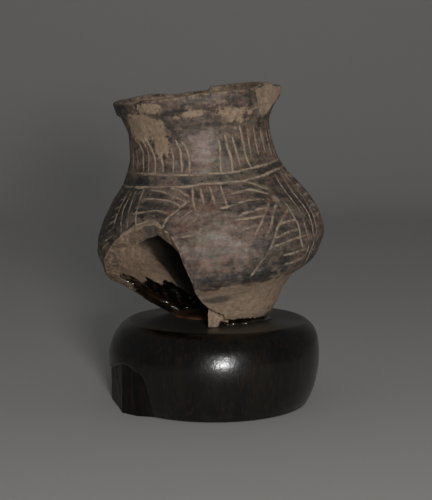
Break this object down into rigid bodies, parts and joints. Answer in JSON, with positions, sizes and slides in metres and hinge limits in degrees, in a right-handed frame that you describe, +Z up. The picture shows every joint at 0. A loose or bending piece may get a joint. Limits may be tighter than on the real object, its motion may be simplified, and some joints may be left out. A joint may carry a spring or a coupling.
{
  "type": "incised clay jar on a wooden base",
  "caption": "Small hand-built clay jar with incised bands and a broken lower front, its foot glued with resin to a squat polished wooden base.",
  "frame": {"origin": "centre of the wooden base's underside", "axes": "+Z up, -Y towards the side with the break, +X to the right of a viewer facing that side"},
  "size_m": [0.098, 0.0982, 0.1406],
  "materials": {
    "jar": "low-fired clay, worn dark slip, pale clay in the incised lines",
    "foot_sherd": "bare broken clay",
    "resin_fill": "glossy brown resin",
    "resin_bead": "glossy brown resin",
    "resin_pad": "dull reddish-brown old adhesive",
    "wood_base": "polished, nearly black brown"
  },
  "bodies": {
    "root": {"jar": "jar", "foot_sherd": "foot_sherd", "resin_fill": "resin_fill", "resin_bead": "resin_bead", "resin_pad": "resin_pad", "wood_base": "wood_base"}
  },
  "joints": []
}
